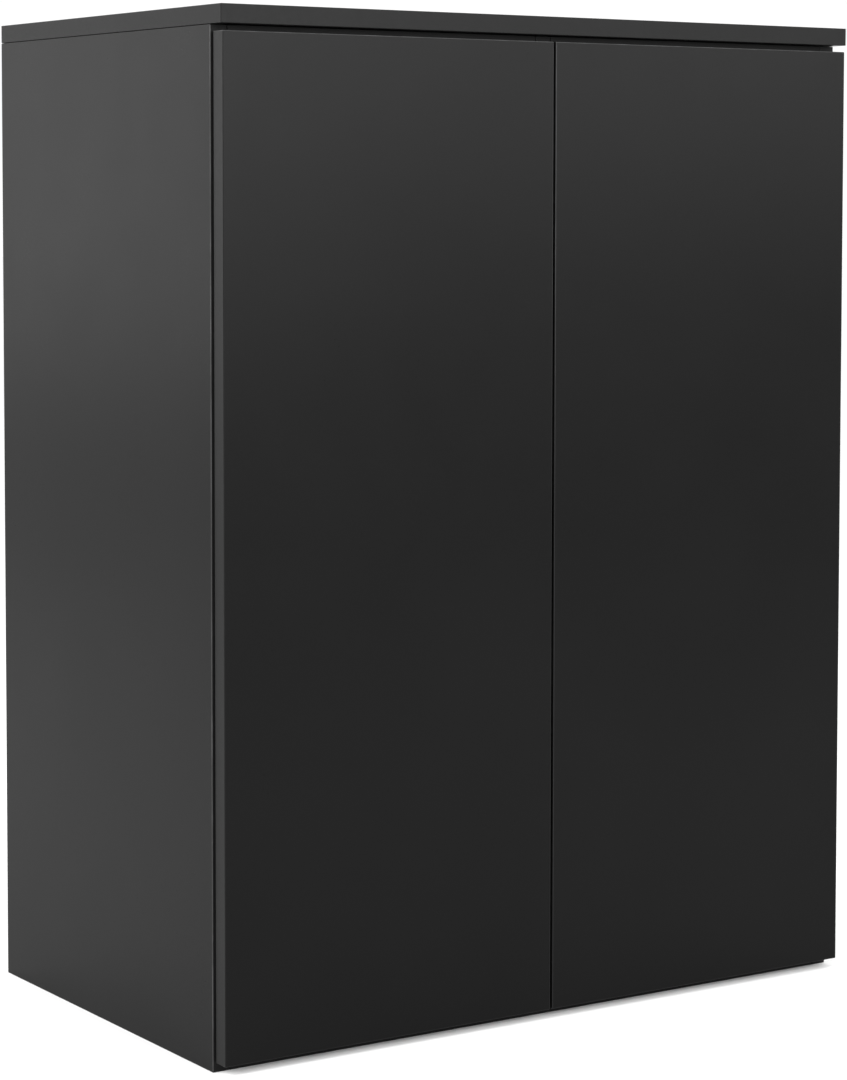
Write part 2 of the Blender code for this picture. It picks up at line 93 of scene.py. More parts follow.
# Cross recess of a screw: half-width of a slot and how it tapers, all of the recess's reach
SLOT_HALF_WIDTH = 0.30
SLOT_TOP, SLOT_BOTTOM = 1.15, 0.55
CROSS_OVER_HEAD = 0.0002

# Screw heads: radius and height
CUP_SCREW = (0.0036, 0.0008)
PLATE_SCREW = (0.0036, 0.0014)
ARM_SCREW = (0.0030, 0.0012)
LATCH_SCREW = (0.0026, 0.0009)
SOCKET_SCREW = (0.0024, 0.0008)

# Broken edges of the fittings that have the CAD's shape
FITTING_ARRIS = 0.00022
WELD_DISTANCE = 0.000001
SMOOTH_BELOW = radians(35)

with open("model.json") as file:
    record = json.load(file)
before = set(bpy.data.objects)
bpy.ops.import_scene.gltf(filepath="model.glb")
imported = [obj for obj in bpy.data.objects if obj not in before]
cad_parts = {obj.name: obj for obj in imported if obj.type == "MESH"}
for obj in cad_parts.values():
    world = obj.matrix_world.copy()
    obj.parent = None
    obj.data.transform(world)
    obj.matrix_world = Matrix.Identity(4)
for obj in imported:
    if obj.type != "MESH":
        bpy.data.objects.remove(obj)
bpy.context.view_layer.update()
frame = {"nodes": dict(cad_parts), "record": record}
nodes = frame["nodes"]
bodies = frame["record"]["behaviour"]["bodies"]
node_body = {node: body for body, members in bodies.items() for node in members}
finishes = {entry["node"]: entry["material_slot"] for entry in frame["record"]["subparts"]}


# ---------------------------------------------------------------- materials

class Finish:
    """A Principled material that is filled in step by step."""

    def __init__(self, name, roughness, metallic=0.0, specular=0.5):
        self.material = bpy.data.materials.new(name)
        self.material.use_nodes = True
        self.tree = self.material.node_tree
        self.shader = self.tree.nodes["Principled BSDF"]
        self.shader.inputs["Roughness"].default_value = roughness
        self.shader.inputs["Metallic"].default_value = metallic
        self.shader.inputs["Specular IOR Level"].default_value = specular
        self.place = self.tree.nodes.new("ShaderNodeTexCoord").outputs["Object"]

    def link(self, source, target):
        self.tree.links.new(source, target)

    def noise(self, scale, detail=3.0, stretch=(1, 1, 1), distortion=0.0):
        """Noise in the object's own metres; scale is features per metre."""
        mapping = self.tree.nodes.new("ShaderNodeMapping")
        mapping.inputs["Scale"].default_value = [scale * value for value in stretch]
        texture = self.tree.nodes.new("ShaderNodeTexNoise")
        texture.inputs["Scale"].default_value = 1.0
        texture.inputs["Detail"].default_value = detail
        texture.inputs["Distortion"].default_value = distortion
        self.link(self.place, mapping.inputs["Vector"])
        self.link(mapping.outputs["Vector"], texture.inputs["Vector"])
        return texture.outputs["Fac"]

    def cells(self, scale, stretch):
        """A colour of its own for each of the cells of a Voronoi pattern; scale is cells per metre."""
        mapping = self.tree.nodes.new("ShaderNodeMapping")
        mapping.inputs["Scale"].default_value = [scale * value for value in stretch]
        texture = self.tree.nodes.new("ShaderNodeTexVoronoi")
        texture.inputs["Scale"].default_value = 1.0
        self.link(self.place, mapping.inputs["Vector"])
        self.link(mapping.outputs["Vector"], texture.inputs["Vector"])
        return texture.outputs["Color"]

    def ramp(self, value, stops):
        """Colour ramp; stops are (position, grey or rgb)."""
        ramp = self.tree.nodes.new("ShaderNodeValToRGB")
        elements = ramp.color_ramp.elements
        while len(elements) < len(stops):
            elements.new(0.5)
        for element, (position, color) in zip(elements, stops):
            element.position = position
            rgb = color if isinstance(color, tuple) else (color, color, color)
            element.color = (*rgb, 1.0)
        self.link(value, ramp.inputs["Fac"])
        return ramp.outputs["Color"]

    def spread(self, value, low, high, start=0.3, end=0.7):
        """Maps a noise value from start..end to low..high."""
        spread = self.tree.nodes.new("ShaderNodeMapRange")
        spread.inputs["From Min"].default_value = start
        spread.inputs["From Max"].default_value = end
        spread.inputs["To Min"].default_value = low
        spread.inputs["To Max"].default_value = high
        self.link(value, spread.inputs["Value"])
        return spread.outputs["Result"]

    def height(self, low, high):
        """0 below the height low over the floor, 1 above the height high."""
        parts = self.tree.nodes.new("ShaderNodeSeparateXYZ")
        self.link(self.place, parts.inputs["Vector"])
        return self.spread(parts.outputs["Z"], 0.0, 1.0, low, high)

    def math(self, operation, first, second):
        node = self.tree.nodes.new("ShaderNodeMath")
        node.operation = operation
        for socket, value in zip(node.inputs, (first, second)):
            if isinstance(value, (int, float)):
                socket.default_value = value
            else:
                self.link(value, socket)
        return node.outputs["Value"]

    def mix(self, factor, first, second, blend="MIX"):
        node = self.tree.nodes.new("ShaderNodeMix")
        node.data_type = "RGBA"
        node.blend_type = blend
        sockets = (node.inputs["Factor"], node.inputs[6], node.inputs[7])
        for socket, value in zip(sockets, (factor, first, second)):
            if isinstance(value, (int, float)):
                socket.default_value = value
            elif isinstance(value, tuple):
                socket.default_value = (*value, 1.0)
            else:
                self.link(value, socket)
        return node.outputs[2]

    def color(self, value):
        self.link(value, self.shader.inputs["Base Color"])

    def roughness(self, value):
        self.link(value, self.shader.inputs["Roughness"])

    def bump(self, height, depth, strength=1.0):
        """Bumps from a height value; depth in metres. Several calls add up."""
        bump = self.tree.nodes.new("ShaderNodeBump")
        bump.inputs["Distance"].default_value = depth
        bump.inputs["Strength"].default_value = strength
        self.link(height, bump.inputs["Height"])
        normal = self.shader.inputs["Normal"]
        if normal.is_linked:
            self.link(normal.links[0].from_socket, bump.inputs["Normal"])
        self.link(bump.outputs["Normal"], normal)


def melamine(name, grey, roughness, specular, pearl_depth):
    """Matte black melamine: a pressed pearl texture, faint clouds of handling and tiny light specks."""
    finish = Finish(name, roughness, specular=specular)
    clouds = finish.noise(5.0, detail=4.0, distortion=0.4)
    grain = finish.noise(420.0, detail=2.0)
    specks = finish.spread(finish.noise(1300.0, detail=1.0), 0.0, 1.0, 0.70, 0.78)
    base = finish.ramp(clouds, [(0.30, grey * 0.90), (0.70, grey * 1.10)])
    base = finish.mix(finish.spread(grain, 0.0, 0.35), base, (grey * 1.35,) * 3)
    finish.color(finish.mix(finish.math("MULTIPLY", specks, 0.35), base, (grey * 2.6,) * 3))
    smudges = finish.spread(finish.noise(9.0, detail=5.0, distortion=0.8), -0.012, 0.012)
    fine = finish.spread(grain, roughness - 0.03, roughness + 0.03)
    finish.roughness(finish.math("ADD", fine, smudges))
    finish.bump(finish.noise(650.0, detail=2.0), pearl_depth)
    finish.bump(finish.noise(14.0, detail=1.0), 0.00002)
    return finish.material


def worn_and_highlight_arris(name, plain_below, lit_and_worn_above):
    """The rounded arris of the edge band: a lighter grey above one height, plain dark below another;
    the lighter grey is partly rub marks and partly a painted highlight.
    """
    finish = Finish(name, 0.36, specular=0.16)
    # Painted highlight and wear: the arris turns lighter with height, as the highlights along the top
    # edges do
    wear_and_highlight_height = finish.height(plain_below, lit_and_worn_above)
    rubs_and_sheen = finish.spread(finish.noise(60.0, detail=6.0, stretch=(1, 1, 0.4)), 0.0, 1.0, 0.45, 0.72)
    # The lighter greys are partly rub wear, partly a painted highlight along the edge
    worn_and_highlight = finish.mix(rubs_and_sheen, (0.034, 0.034, 0.034), (0.062, 0.062, 0.063))
    nicks = finish.spread(finish.noise(330.0, detail=2.0), 0.0, 1.0, 0.70, 0.76)
    worn_and_highlight = finish.mix(nicks, worn_and_highlight, (0.080, 0.077, 0.073))
    finish.color(finish.mix(wear_and_highlight_height, (0.009, 0.009, 0.009), worn_and_highlight))
    finish.roughness(finish.spread(rubs_and_sheen, 0.40, 0.30, 0.0, 1.0))
    finish.bump(finish.noise(300.0, detail=3.0), 0.00002)
    return finish.material


def edge_band(name, grey, specular):
    """ABS edge band: smoother than the faces, with faint drawn lines along it."""
    finish = Finish(name, 0.37, specular=specular)
    lines = finish.noise(260.0, detail=2.0)
    base = finish.ramp(finish.noise(12.0, detail=3.0), [(0.3, grey * 0.92), (0.7, grey * 1.08)])
    finish.color(finish.mix(finish.spread(lines, 0.0, 0.3), base, (grey * 1.43,) * 3))
    finish.roughness(finish.spread(lines, 0.34, 0.40))
    finish.bump(lines, 0.00001)
    return finish.material


def shut_band():
    """The thin matte band on the carcass edges that the doors close on."""
    finish = Finish("black_board_shut_band", 0.58, specular=0.06)
    weave = finish.noise(380.0, detail=3.0, stretch=(1, 1, 0.6))
    base = finish.ramp(finish.noise(15.0, detail=3.0), [(0.3, 0.0085), (0.7, 0.0105)])
    finish.color(finish.mix(finish.spread(weave, 0.0, 0.4), base, (0.015, 0.015, 0.0155)))
    finish.roughness(finish.spread(weave, 0.52, 0.64))
    finish.bump(weave, 0.00002)
    return finish.material


def chipboard():
    """The board's raw core: pressed wood chips in resin."""
    finish = Finish("chipboard_core", 0.85, specular=0.3)
    chips = finish.cells(420.0, (1, 1, 2.2))
    tone = finish.tree.nodes.new("ShaderNodeSeparateColor")
    finish.link(chips, tone.inputs["Color"])
    base = finish.ramp(tone.outputs["Red"], [(0.0, (0.13, 0.085, 0.05)), (0.5, (0.30, 0.215, 0.135)),
                                             (1.0, (0.47, 0.36, 0.24))])
    finish.color(finish.mix(finish.spread(finish.noise(900.0), 0.0, 0.5), base, (0.12, 0.08, 0.05)))
    finish.bump(tone.outputs["Red"], 0.0003)
    finish.bump(finish.noise(1500.0), 0.0001)
    return finish.material


def hardboard():
    """Lacquered hardboard: fine fibres under a thin black coat."""
    finish = Finish("black_hardboard", 0.62, specular=0.25)
    fibres = finish.noise(700.0, detail=5.0, stretch=(1, 1, 0.25), distortion=1.5)
    base = finish.ramp(finish.noise(7.0, detail=4.0), [(0.3, 0.018), (0.7, 0.024)])
    finish.color(finish.mix(finish.spread(fibres, 0.0, 0.5), base, (0.034, 0.031, 0.029)))
    finish.roughness(finish.spread(fibres, 0.55, 0.70))
    finish.bump(fibres, 0.00006)
    return finish.material


def nickel(name, grey, roughness):
    """Nickel-plated pressed steel: rolling lines, handling haze and a little die wear."""
    finish = Finish(name, roughness, metallic=1.0)
    rolling = finish.noise(1400.0, detail=2.0, stretch=(1, 0.06, 1))
    haze = finish.noise(90.0, detail=3.0)
    warm = (grey, grey * 0.985, grey * 0.955)
    base = finish.mix(finish.spread(haze, 0.0, 1.0), tuple(v * 0.92 for v in warm), warm)
    finish.color(finish.mix(finish.spread(rolling, 0.0, 0.25), base, tuple(v * 0.8 for v in warm)))
    finish.roughness(finish.math("ADD", finish.spread(haze, roughness - 0.03, roughness + 0.04),
                                 finish.spread(rolling, -0.02, 0.03)))
    finish.bump(rolling, 0.000004)
    finish.bump(haze, 0.000010)
    return finish.material


def powder_coat():
    """Satin black powder coat: orange peel and a few pinholes."""
    finish = Finish("black_rail_steel", 0.38, specular=0.45)
    peel = finish.noise(520.0, detail=1.0)
    base = finish.ramp(finish.noise(40.0, detail=3.0), [(0.3, 0.020), (0.7, 0.027)])
    finish.color(finish.mix(finish.spread(peel, 0.0, 0.3), base, (0.035, 0.035, 0.036)))
    finish.roughness(finish.spread(peel, 0.33, 0.43))
    finish.bump(peel, 0.00004)
    return finish.material


def moulded(name, dark, light, roughness, transmission=0.0):
    """Moulded plastic: fine eroded texture with slight flow marks."""
    finish = Finish(name, roughness, specular=0.45)
    grain = finish.noise(1800.0, detail=2.0)
    flow = finish.noise(45.0, detail=3.0, stretch=(1, 0.3, 1), distortion=0.6)
    finish.color(finish.mix(finish.spread(flow, 0.0, 1.0), dark, light))
    finish.roughness(finish.math("ADD", finish.spread(grain, roughness - 0.05, roughness + 0.05),
                                 finish.spread(flow, -0.03, 0.03)))
    finish.bump(grain, 0.00003)
    finish.shader.inputs["Transmission Weight"].default_value = transmission
    return finish.material


MATERIALS = {
    "face": melamine("black_board", 0.0037, 0.31, 0.062, 0.000018),
    # Inner faces: the same melamine with a lighter grey, painted light that stands in for light inside
    # the carcass
    "inner": melamine("black_board_inner_lit", 0.0120, 0.38, 0.100, 0.000018),
    "upper": melamine("black_board_upper", 0.0065, 0.52, 0.050, 0.000018),
    "band": edge_band("black_board_band", 0.0070, 0.080),
    # The top panel's edge bands: a darker copy of the edge band, painted shade
    "top_band": edge_band("black_board_top_band_shaded", 0.0056, 0.064),
    # Doors: the arris turns lighter from 0.55 m upwards, partly rub wear and partly a painted highlight
    "arris": worn_and_highlight_arris("black_board_arris", 0.55, 1.15),
    # Sides' outer upright arrises: lighter all the way up, a painted highlight with rub marks and nicks
    "outer_arris": worn_and_highlight_arris("black_board_outer_arris", -0.10, 0.0),
    "raw": chipboard(),
    "shut": shut_band(),
    "black_hardboard": hardboard(),
    "nickel_steel": nickel("nickel_steel", 0.62, 0.36),
    "zinc": nickel("zinc_cam", 0.40, 0.42),
    "dark_steel": nickel("dark_steel", 0.20, 0.34),
    "black_rail_steel": powder_coat(),
    "black_plastic": moulded("black_plastic", (0.014, 0.014, 0.015), (0.024, 0.024, 0.025), 0.46),
    "grey_plastic": moulded("grey_plastic", (0.20, 0.20, 0.205), (0.27, 0.27, 0.275), 0.42),
    "clear_rubber": moulded("clear_rubber", (0.40, 0.40, 0.39), (0.52, 0.52, 0.50), 0.35, 0.45),
}
BOARD_SLOTS = [MATERIALS[name] for name in
               ("face", "band", "arris", "outer_arris", "raw", "shut", "inner", "upper", "top_band")]


# ---------------------------------------------------------------- mesh tools

def add_piece(name, bm, materials, body):
    """Makes an object of a bmesh in world coordinates and lets it ride on its body."""
    bmesh.ops.recalc_face_normals(bm, faces=bm.faces)
    mesh = bpy.data.meshes.new(name)
    bm.to_mesh(mesh)
    bm.free()
    for material in materials:
        mesh.materials.append(material)
    piece = bpy.data.objects.new(name, mesh)
    bpy.context.scene.collection.objects.link(piece)
    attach(piece, body)
    return piece


def cylinder_into(bm, base, direction, radius, sides, material_index):
    """Adds a closed cylinder from base along direction (its length is the cylinder's)."""
    direction = Vector(direction)
    turn = direction.to_track_quat("Z", "Y").to_matrix().to_4x4()
    place = Matrix.Translation(Vector(base) + direction / 2) @ turn
    made = bmesh.ops.create_cone(bm, cap_ends=True, segments=sides, radius1=radius, radius2=radius,
                                 depth=direction.length, matrix=place)
    for face in {face for vert in made["verts"] for face in vert.link_faces}:
        face.material_index = material_index


def rounded(points, radius, steps=3):
    """Rounds every corner of an open outline but its two ends; no rounding takes half of a side."""
    result = [points[0]]
    for before, corner, after in zip(points, points[1:], points[2:]):
        corner = Vector(corner)
        ways = [Vector(other) - corner for other in (before, after)]
        start, end = (corner + way.normalized() * min(radius, way.length * 0.45) for way in ways)
        for step in range(steps + 1):
            t = step / steps
            point = start * (1 - t) ** 2 + corner * 2 * t * (1 - t) + end * t ** 2
            result.append(tuple(point))
    return result + [points[-1]]


def turned_into(bm, base, direction, profile, sides=32, loop=False, tip_from=None):
    """Adds a turned solid; profile is (radius, distance along direction) from axis to axis, or a loop.

    Faces beyond tip_from along the direction get the second material.
    """
    turn = Vector(direction).to_track_quat("Z", "Y").to_matrix()
    rings = []
    for radius, along in profile:
        spots = [(0, 0)]
        if radius > 0:
            spots = [(radius * cos(2 * pi * side / sides), radius * sin(2 * pi * side / sides))
                     for side in range(sides)]
        rings.append([bm.verts.new(Vector(base) + turn @ Vector((x, y, along))) for x, y in spots])
    heights = [along for _, along in profile]
    followers = rings[1:] + rings[:1] if loop else rings[1:]
    for index, (first, second) in enumerate(zip(rings, followers)):
        for side in range(sides):
            corners = [first[side % len(first)], first[(side + 1) % len(first)],
                       second[(side + 1) % len(second)], second[side % len(second)]]
            face = bm.faces.new(list(dict.fromkeys(corners)))
            if tip_from is not None and heights[index] >= tip_from:
                face.material_index = 1


def cross_into(bm, top, direction, reach, depth, angle):
    """Adds a tapered cross, the cutter of a screw's recess; top is the middle of the screw's head.

    The angle turns the cross, so that no two screws stand the same way.
    """
    turn = Vector(direction).to_track_quat("Z", "Y").to_matrix() @ Matrix.Rotation(angle, 3, "Z")
    thin = reach * SLOT_HALF_WIDTH
    quarter = [(reach, -thin), (reach, thin), (thin, thin)]
    outline = []
    for _ in range(4):
        outline += quarter
        quarter = [(-y, x) for x, y in quarter]
    levels = ((SLOT_TOP, CROSS_OVER_HEAD), (SLOT_BOTTOM, -depth))
    rings = [[bm.verts.new(Vector(top) + turn @ Vector((x * scale, y * scale, height)))
              for x, y in outline]
             for scale, height in levels]
    for index in range(len(outline)):
        after = (index + 1) % len(outline)
        bm.faces.new([rings[0][index], rings[0][after], rings[1][after], rings[1][index]])
    for ring in rings:
        bm.faces.new(ring)
    bmesh.ops.recalc_face_normals(bm, faces=bm.faces)


def screws(name, body, finish, seats, size):
    """Screw heads with a cross recess; seats are (point on the surface, direction out of it)."""
    radius, height = size
    outline = [(0, 0), (radius, 0), (radius, height * 0.45), (radius * 0.5, height), (0, height)]
    heads = bmesh.new()
    crosses = bmesh.new()
    for index, (seat, outward) in enumerate(seats):
        outward = Vector(outward)
        turned_into(heads, seat, outward, rounded(outline, height * 0.5), 32)
        top = Vector(seat) + outward * height
        cross_into(crosses, top, outward, radius * 0.52, height * 0.75, 1.7 * index)
    piece = add_piece(name, heads, [MATERIALS[finish]], body)
    cut(piece, crosses)
    soften(piece)


def turned_piece(node, base, direction, profile, sides=48, loop=False, tip_from=None, tip=None):
    """A turned piece in place of its CAD node."""
    bm = bmesh.new()
    turned_into(bm, base, direction, profile, sides, loop, tip_from)
    finish = finishes[node]
    materials = [MATERIALS[finish]] + ([MATERIALS[tip]] if tip else [])
    piece = add_piece(f"{node}_turned", bm, materials, node_body[node])
    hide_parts(node)
    soften(piece)


def cut(piece, bm):
    """Takes the closed shapes in bm away from the piece, for good."""
    mesh = bpy.data.meshes.new("cutter")
    bm.to_mesh(mesh)
    bm.free()
    for material in BOARD_SLOTS:
        mesh.materials.append(material)
    cutter = bpy.data.objects.new("cutter", mesh)
    bpy.context.scene.collection.objects.link(cutter)
    modifier = piece.modifiers.new("cut", "BOOLEAN")
    modifier.operation = "DIFFERENCE"
    modifier.solver = "EXACT"
    modifier.object = cutter
    graph = bpy.context.evaluated_depsgraph_get()
    result = bpy.data.meshes.new_from_object(piece.evaluated_get(graph))
    piece.modifiers.clear()
    piece.data = result
    bpy.data.objects.remove(cutter)


def arris_of(node, normal):
    """The doors' top and middle edges and the sides' outer upright edges get the lighter arris: partly
    wear where hands rub, partly a painted highlight.
    """
    outward = -normal.x if "left" in node else normal.x
    if node.endswith("_door") and (normal.z > 0.1 or outward < -0.1):
        return ARRIS
    if node.endswith("_side_panel") and abs(normal.z) < 0.1 and outward > 0.1:
        return OUTER_ARRIS
    return BAND


def board(node, special):
    """A melamine board in place of its CAD node, with rounded arrises and edge bands.

    special gives other materials for some sides, by (axis, sign): (1, 1) is the side that faces +Y.
    """
    low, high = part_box(node)
    size = high - low
    thin = min(range(3), key=lambda axis: size[axis])
    bm = bmesh.new()
    bmesh.ops.create_cube(bm, size=1.0)
    bmesh.ops.scale(bm, vec=size, verts=bm.verts)
    bmesh.ops.translate(bm, vec=(low + high) / 2, verts=bm.verts)
    bmesh.ops.bevel(bm, geom=list(bm.edges), offset=ARRIS_RADIUS, segments=ARRIS_STEPS, profile=0.5,
                    affect="EDGES")
    for face in bm.faces:
        axis = max(range(3), key=lambda index: abs(face.normal[index]))
        sign = 1 if face.normal[axis] > 0 else -1
        if abs(face.normal[axis]) < 0.9999:
            face.material_index = arris_of(node, face.normal)
        else:
            face.material_index = special.get((axis, sign), FACE if axis == thin else BAND)
    piece = add_piece(f"{node}_board", bm, BOARD_SLOTS, node_body[node])
    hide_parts(node)
    return piece


def soften(piece):
    """Smooth arrises beside flat faces."""
    piece.data.shade_smooth()
    piece.data.set_sharp_from_angle(angle=SMOOTH_BELOW)
    weighted = piece.modifiers.new("even_faces", "WEIGHTED_NORMAL")
    weighted.keep_sharp = True
    weighted.weight = 100


# ---------------------------------------------------------------- carcass

def shelf_holes(face_x, direction):
    """Two rows of system holes beside the shelves, entering the board's face at face_x."""
    boxes = [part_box(name) for name in nodes if name.startswith("shelf_pin_1_")]
    pin_height = sum((low.z + high.z) / 2 for low, high in boxes) / len(boxes)
    first = pin_height - HOLES_BELOW_LOWEST_PIN * HOLE_PITCH
    bm = bmesh.new()
    for row in sorted({round((low.y + high.y) / 2, 5) for low, high in boxes}):
        for index in range(HOLES_PER_ROW):
            base = (face_x - direction * OVERSHOOT, row, first + index * HOLE_PITCH)
            cylinder_into(bm, base, (direction * (HOLE_DEPTH + OVERSHOOT), 0, 0), HOLE_RADIUS, 16, RAW)
    return bm


def cam_seats():
    """Middles of the cam wells on the back faces of the two rear rails."""
    seats = {}
    for rail in ("rear_top_rail", "rear_bottom_rail"):
        low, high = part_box(rail)
        middle = (low.z + high.z) / 2
        ends = (low.x + CAM_FROM_END, high.x - CAM_FROM_END)
        seats[rail] = [Vector((x, high.y, middle)) for x in ends]
    return seats


def groove_cutter():
    """The room that the back panel takes in the grooves of the boards around it."""
    low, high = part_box("back_panel")
    bm = bmesh.new()
    bmesh.ops.create_cube(bm, size=1.0)
    bmesh.ops.scale(bm, vec=[side + 2 * PLAY for side in high - low], verts=bm.verts)
    bmesh.ops.translate(bm, vec=(low + high) / 2, verts=bm.verts)
    for face in bm.faces:
        face.material_index = RAW
    return bm


def build_boards():
    """All the boards with their holes and wells, and the back panel."""
    shut = {(1, -1): SHUT}
    shelf = {(1, 1): RAW, (2, -1): INNER, (2, 1): INNER}
    specials = {
        "top_panel": {(2, 1): UPPER, (1, -1): TOP_BAND, (0, -1): TOP_BAND, (0, 1): TOP_BAND},
        "left_side_panel": shut | {(2, -1): RAW, (0, 1): INNER},
        "right_side_panel": shut | {(2, -1): RAW, (0, -1): INNER},
        "bottom_panel": shut | {(1, 1): RAW, (2, 1): INNER},
        "centre_divider": shut | {(0, -1): INNER, (0, 1): INNER},
        "front_top_rail_left": shut,
        "front_top_rail_right": shut,
        "rear_top_rail": {(2, -1): RAW},
        "rear_bottom_rail": {(2, 1): RAW},
        "shelf_1": shelf,
        "shelf_2": shelf,
        "shelf_3": shelf,
        "left_door": {(1, 1): INNER},
        "right_door": {(1, 1): INNER},
    }
    pieces = {node: board(node, special) for node, special in specials.items()}

    cut(pieces["right_side_panel"], shelf_holes(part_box("right_side_panel")[0].x, 1))
    cut(pieces["centre_divider"], shelf_holes(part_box("centre_divider")[1].x, -1))

    for side, inward in (("left", 1), ("right", -1)):
        bm = bmesh.new()
        inner_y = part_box(f"{side}_door")[1].y
        for level in ("lower", "upper"):
            low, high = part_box(f"{side}_{level}_hinge_cup")
            edge = low.x if inward > 0 else high.x
            center = (edge + inward * CUP_EDGE_TO_MIDDLE, inner_y + OVERSHOOT, (low.z + high.z) / 2)
            depth = inner_y - low.y + PLAY
            cylinder_into(bm, center, (0, -(depth + OVERSHOOT), 0), WELL_RADIUS, 64, RAW)
        cut(pieces[f"{side}_door"], bm)

    for rail, seats in cam_seats().items():
        bm = bmesh.new()
        for seat in seats:
            cylinder_into(bm, seat + Vector((0, OVERSHOOT, 0)), (0, -(CAM_WELL_DEPTH + OVERSHOOT), 0),
                          CAM_WELL_RADIUS, 48, RAW)
        cut(pieces[rail], bm)

    for node in ("top_panel", "bottom_panel", "left_side_panel", "right_side_panel"):
        cut(pieces[node], groove_cutter())

    for piece in pieces.values():
        soften(piece)

    low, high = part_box("back_panel")
    bm = bmesh.new()
    bmesh.ops.create_cube(bm, size=1.0)
    bmesh.ops.scale(bm, vec=high - low, verts=bm.verts)
    bmesh.ops.translate(bm, vec=(low + high) / 2, verts=bm.verts)
    bmesh.ops.bevel(bm, geom=list(bm.edges), offset=BACK_ARRIS, segments=1, affect="EDGES")
    finish = "black_hardboard"
    back = add_piece("back_panel_hardboard", bm, [MATERIALS[finish]], "carcass")
    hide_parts("back_panel")


# ---------------------------------------------------------------- pressed and moulded fittings

def build_pressed_fittings():
    """The hinges and latch housings, in the CAD's shape with broken edges."""
    for node, item in nodes.items():
        if item.hide_render:
            continue
        bm = bmesh.new()
        corners = [bm.verts.new(vertex.co) for vertex in item.data.vertices]
        for polygon in item.data.polygons:
            bm.faces.new([corners[index] for index in polygon.vertices])
        bmesh.ops.remove_doubles(bm, verts=bm.verts, dist=WELD_DISTANCE)
        finish = finishes[node]
        piece = add_piece(f"{node}_finished", bm, [MATERIALS[finish]], node_body[node])
        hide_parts(node)
        piece.data.shade_smooth()
        edges = piece.modifiers.new("broken_edges", "BEVEL")
        edges.limit_method = "ANGLE"
        edges.angle_limit = SMOOTH_BELOW
        edges.width = FITTING_ARRIS
        edges.segments = 2
        even = piece.modifiers.new("even_faces", "WEIGHTED_NORMAL")
        even.weight = 100


# ---------------------------------------------------------------- turned fittings

def build_shelf_pins():
    """Steel pins: a shaft in the hole, a collar on the board and a rest under the shelf."""
    profile = [(0, 0), (PIN_SHAFT[0], 0), (PIN_SHAFT[0], PIN_SHAFT[1]), (PIN_COLLAR[0], PIN_SHAFT[1]),
               (PIN_COLLAR[0], PIN_COLLAR[1]), (PIN_REST[0], PIN_COLLAR[1]), (PIN_REST[0], PIN_REST[1]),
               (0, PIN_REST[1])]
    for node in nodes:
        if not node.startswith("shelf_pin_"):
            continue
        low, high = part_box(node)
        middle = (low + high) / 2
        direction = 1 if "_left_" in node else -1
        start = low.x if direction > 0 else high.x
        turned_piece(node, (start, middle.y, middle.z), (direction, 0, 0),
                     rounded(profile, PIN_ROUNDING), 32)


def build_clothes_rail():
    """A round tube in two open sockets, each with two screws."""
    low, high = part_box("clothes_rail")
    middle = (low + high) / 2
    outer = (high.z - low.z) / 2
    inner = outer - RAIL_WALL
    length = high.x - low.x
    profile = [(inner, RAIL_LIP), (inner + RAIL_LIP, 0), (outer - RAIL_LIP, 0), (outer, RAIL_LIP),
               (outer, length - RAIL_LIP), (outer - RAIL_LIP, length), (inner + RAIL_LIP, length),
               (inner, length - RAIL_LIP)]
    turned_piece("clothes_rail", (low.x, middle.y, middle.z), (1, 0, 0), profile, 72, loop=True)

    seats = []
    for side, direction in (("outer", 1), ("inner", -1)):
        node = f"clothes_rail_socket_{side}"
        low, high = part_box(node)
        middle = (low + high) / 2
        start = low.x if direction > 0 else high.x
        flange = (high.z - low.z) / 2
        reach = high.x - low.x
        floor = SOCKET_FLANGE + PLAY
        outline = [(0, 0), (flange, 0), (flange, SOCKET_FLANGE), (COLLAR_RADIUS, SOCKET_FLANGE),
                   (COLLAR_RADIUS, reach), (RAIL_BORE, reach), (RAIL_BORE, floor), (0, floor)]
        turned_piece(node, (start, middle.y, middle.z), (direction, 0, 0),
                     rounded(outline, SOCKET_ROUNDING, 4), 64)
        for way in (-1, 1):
            height = middle.z + way * SOCKET_SCREW_SPACING / 2
            seats.append(((start + direction * SOCKET_FLANGE, middle.y, height), (direction, 0, 0)))
    screws("clothes_rail_socket_screws", "carcass", "dark_steel", seats, SOCKET_SCREW)


def build_stops():
    """Door buffers, strike plates and latch plungers."""
    for side in ("left", "right"):
        low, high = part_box(f"{side}_door_buffer")
        middle = (low + high) / 2
        radius = (high.z - low.z) / 2
        height = high.y - low.y
        dome = [(0, 0), (radius, 0), (radius, height * 0.3), (radius * 0.72, height * 0.92),
                (0, height)]
        turned_piece(f"{side}_door_buffer", (middle.x, low.y, middle.z), (0, 1, 0),
                     rounded(dome, height * 0.5, 5))

        low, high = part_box(f"{side}_strike_plate")
        middle = (low + high) / 2
        radius = (high.z - low.z) / 2
        height = high.y - low.y
        floor = height * 0.62
        dish = [(0, 0), (radius, 0), (radius, height), (radius * 0.62, height), (radius * 0.52, floor),
                (radius * 0.12, floor), (0, height * 0.35)]
        turned_piece(f"{side}_strike_plate", (middle.x, low.y, middle.z), (0, 1, 0),
                     rounded(dish, height * 0.5))

        node = f"{side}_latch_plunger"
        low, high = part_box(node)
        middle = (low + high) / 2
        radius = (high.z - low.z) / 2
        length = high.y - low.y
        groove = length - PLUNGER_TIP
        waist = radius * 0.86
        tip = radius * 0.94
        rod = [(0, 0), (radius, 0), (radius, groove - 2 * PLUNGER_GROOVE),
               (waist, groove - PLUNGER_GROOVE), (waist, groove + PLUNGER_GROOVE),
               (tip, groove + 1.5 * PLUNGER_GROOVE), (tip, length), (0, length)]
        turned_piece(node, (middle.x, high.y, middle.z), (0, -1, 0), rounded(rod, 0.0003), 40,
                     tip_from=groove + PLUNGER_GROOVE / 4, tip="dark_steel")


